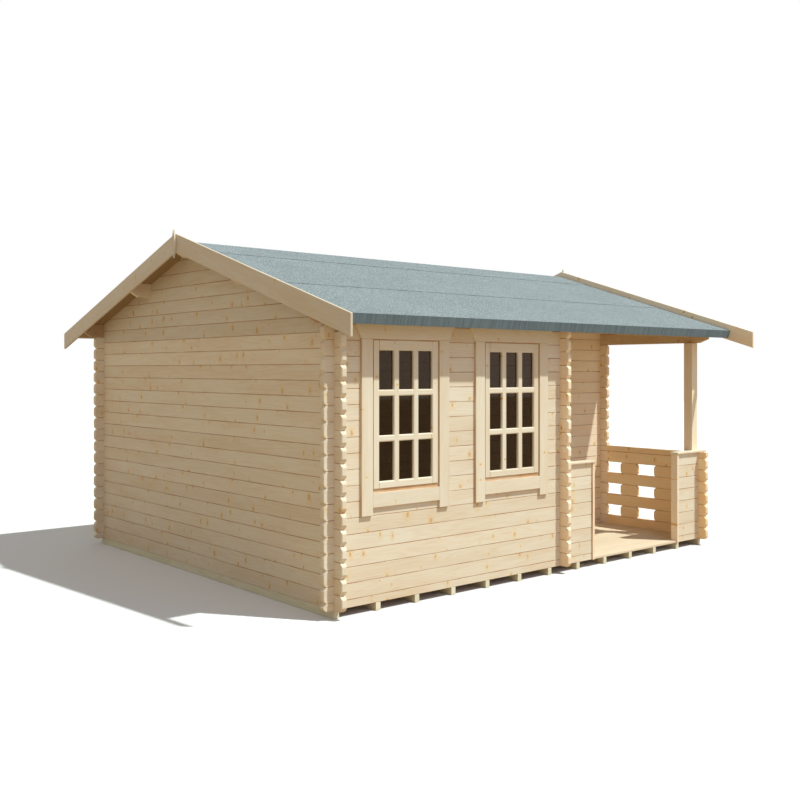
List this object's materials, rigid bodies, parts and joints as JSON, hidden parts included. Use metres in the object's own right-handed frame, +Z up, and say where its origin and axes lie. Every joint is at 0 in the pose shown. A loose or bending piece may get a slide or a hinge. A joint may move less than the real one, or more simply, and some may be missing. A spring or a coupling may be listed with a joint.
{
  "type": "log cabin",
  "caption": "Pitched-roof cabin of interlocking machined logs with a corner porch under the main roof, paned windows, a half-height rail and felt roofing.",
  "frame": {"origin": "middle of the cabin's plan box, on the ground at the underside of the floor bearers", "axes": "+X along the ridge towards the porch end, +Y from the front wall to the back wall, +Z up"},
  "size_m": [4.966, 4.798, 2.9006],
  "materials": {
    "log_timber": "planed, untreated",
    "planed_timber": "planed, untreated",
    "bearer_timber": "rough, pressure treated",
    "roof_felt": "mineral surfaced, matt",
    "pane_glass": "clear",
    "handle_steel": "satin"
  },
  "bodies": {
    "root": {"apex_plates": "planed_timber", "back_wall": "log_timber", "bargeboard_left_back": "planed_timber", "bargeboard_left_front": "planed_timber", "bargeboard_right_back": "planed_timber", "bargeboard_right_front": "planed_timber", "corner_post": "planed_timber", "door_boards": "planed_timber", "door_frame": "planed_timber", "door_glass": "pane_glass", "door_handle": "handle_steel", "door_head": "planed_timber", "door_leaf": "planed_timber", "eave_fascias": "planed_timber", "eave_logs": "log_timber", "floor_bearers": "bearer_timber", "front_wall": "log_timber", "left_gable": "log_timber", "left_wall": "log_timber", "panel_caps": "planed_timber", "panel_trims": "planed_timber", "partition_wall": "log_timber", "porch_floor": "planed_timber", "porch_panel_left": "log_timber", "porch_panel_right": "log_timber", "porch_rail": "log_timber", "recess_wall_left": "log_timber", "recess_wall_over": "log_timber", "recess_wall_right": "log_timber", "ridge_felt": "roof_felt", "ridge_purlin": "log_timber", "right_gable": "log_timber", "right_wall": "log_timber", "roof_boards_back": "planed_timber", "roof_boards_front": "planed_timber", "roof_felt_back": "roof_felt", "roof_felt_front": "roof_felt", "room_floor": "planed_timber", "side_purlins": "log_timber", "window_boards": "planed_timber", "window_frames": "planed_timber", "window_glass": "pane_glass", "window_heads": "planed_timber", "window_sashes": "planed_timber", "window_sills": "planed_timber"}
  },
  "joints": []
}
